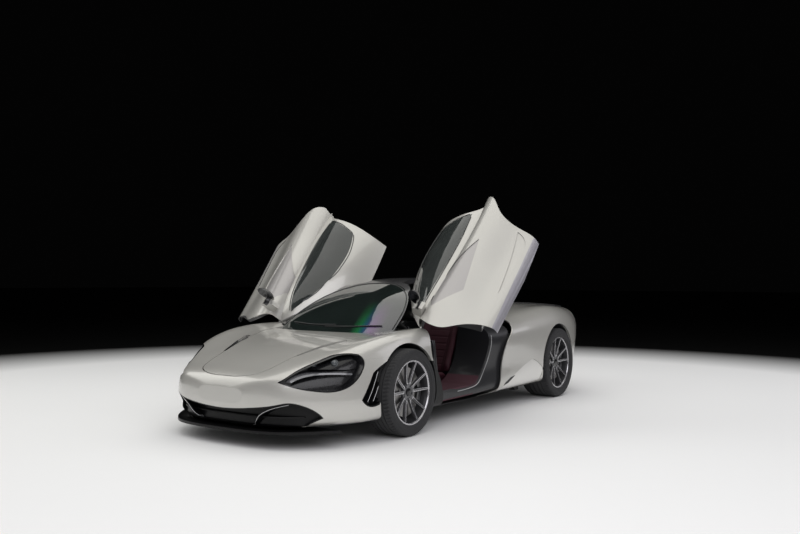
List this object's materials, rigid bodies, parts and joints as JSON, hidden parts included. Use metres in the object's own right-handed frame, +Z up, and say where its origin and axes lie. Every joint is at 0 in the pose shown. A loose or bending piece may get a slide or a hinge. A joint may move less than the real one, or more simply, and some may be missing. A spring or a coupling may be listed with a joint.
{
  "type": "two-seat supercar",
  "caption": "Low mid-engined two-seat coupe standing on its wheels with both dihedral doors open, curved skin, teardrop canopy.",
  "frame": {"origin": "on the ground at the centre of the bounding box with the doors open", "axes": "+Z up, nose towards -Y, +X towards the car's left side"},
  "size_m": [2.9304, 4.554, 1.895],
  "materials": {
    "paint": "pale silver metallic, clear coated",
    "carbon": "black composite",
    "black_plastic": "matte black",
    "glass": "tinted",
    "mirror_shell": "painted",
    "rubber": "black rubber",
    "wheel_metal": "dark grey with machined edges",
    "lamp_white": "clear light guide",
    "lamp_red": "red lens",
    "iron": "ground steel",
    "suspension": "cast",
    "engine_mass": "plain",
    "exhaust_metal": "brushed",
    "upholstery": "dark burgundy",
    "grip": "black"
  },
  "bodies": {
    "chassis": {"tub": "carbon", "flat_floor": "carbon", "subframes": "suspension", "wishbones": "suspension", "rear_uprights": "suspension", "front_bumper": "paint", "front_fenders": "paint", "front_intake": "black_plastic", "side_vents": "black_plastic", "headlamps": "black_plastic", "arch_liners": "black_plastic", "cowl": "black_plastic", "windscreen": "glass", "roof_frame": "carbon", "rear_screen": "glass", "rear_deck": "black_plastic", "rear_clamshell": "paint", "rear_bumper": "paint", "rear_grille": "black_plastic", "exhausts": "exhaust_metal", "diffuser": "carbon", "rear_wing": "carbon", "lamp_strips": "lamp_white", "tail_lamps": "lamp_red", "engine": "engine_mass", "seats": "upholstery", "dashboard": "black_plastic", "centre_console": "black_plastic"},
    "bonnet": {"bonnet": "paint"},
    "door_left": {"door_left": "paint", "door_glass_left": "glass", "mirror_left": "mirror_shell"},
    "door_right": {"door_right": "paint", "door_glass_right": "glass", "mirror_right": "mirror_shell"},
    "knuckle_left": {"knuckle_left": "suspension"},
    "knuckle_right": {"knuckle_right": "suspension"},
    "steering_wheel": {"steering_wheel": "grip"},
    "front_wheel_left": {"front_tyre_left": "rubber", "front_rim_left": "wheel_metal", "front_disc_left": "iron"},
    "front_wheel_right": {"front_tyre_right": "rubber", "front_rim_right": "wheel_metal", "front_disc_right": "iron"},
    "rear_wheel_left": {"rear_tyre_left": "rubber", "rear_rim_left": "wheel_metal", "rear_disc_left": "iron"},
    "rear_wheel_right": {"rear_tyre_right": "rubber", "rear_rim_right": "wheel_metal", "rear_disc_right": "iron"}
  },
  "joints": [
    {"name": "bonnet_hinge", "type": "hinge", "parent": "chassis", "child": "bonnet", "pos_m": [0, -1.0765, 0.712], "axis": [-1, 0, 0], "range_deg": [0, 50]},
    {"name": "door_left_hinge", "type": "hinge", "parent": "chassis", "child": "door_left", "pos_m": [0.68, -0.7965, 0.85], "axis": [-0.5137, 0.7518, 0.4135], "range_deg": [0, 77]},
    {"name": "door_right_hinge", "type": "hinge", "parent": "chassis", "child": "door_right", "pos_m": [-0.68, -0.7965, 0.85], "axis": [-0.5137, -0.7518, -0.4135], "range_deg": [0, 77]},
    {"name": "steer_left", "type": "hinge", "parent": "chassis", "child": "knuckle_left", "pos_m": [0.812, -1.2265, 0.327], "axis": [0, 0, 1], "range_deg": [-30, 30]},
    {"name": "steer_right", "type": "hinge", "parent": "chassis", "child": "knuckle_right", "pos_m": [-0.812, -1.2265, 0.327], "axis": [0, 0, 1], "range_deg": [-30, 30]},
    {"name": "steering_column", "type": "hinge", "parent": "chassis", "child": "steering_wheel", "pos_m": [0.34, -0.5065, 0.62], "axis": [0, 0.9272, 0.3746], "range_deg": [-391, 391]},
    {"name": "front_wheel_left_spin", "type": "hinge", "parent": "knuckle_left", "child": "front_wheel_left", "pos_m": [0.837, -1.2265, 0.327], "axis": [1, 0, 0], "continuous": true},
    {"name": "front_wheel_right_spin", "type": "hinge", "parent": "knuckle_right", "child": "front_wheel_right", "pos_m": [-0.837, -1.2265, 0.327], "axis": [1, 0, 0], "continuous": true},
    {"name": "rear_wheel_left_spin", "type": "hinge", "parent": "chassis", "child": "rear_wheel_left", "pos_m": [0.8145, 1.4435, 0.345], "axis": [1, 0, 0], "continuous": true},
    {"name": "rear_wheel_right_spin", "type": "hinge", "parent": "chassis", "child": "rear_wheel_right", "pos_m": [-0.8145, 1.4435, 0.345], "axis": [1, 0, 0], "continuous": true}
  ],
  "couplings": [
    {"joint": "steer_right", "follows": "steer_left", "ratio": 1},
    {"joint": "steering_column", "follows": "steer_left", "ratio": 13}
  ]
}
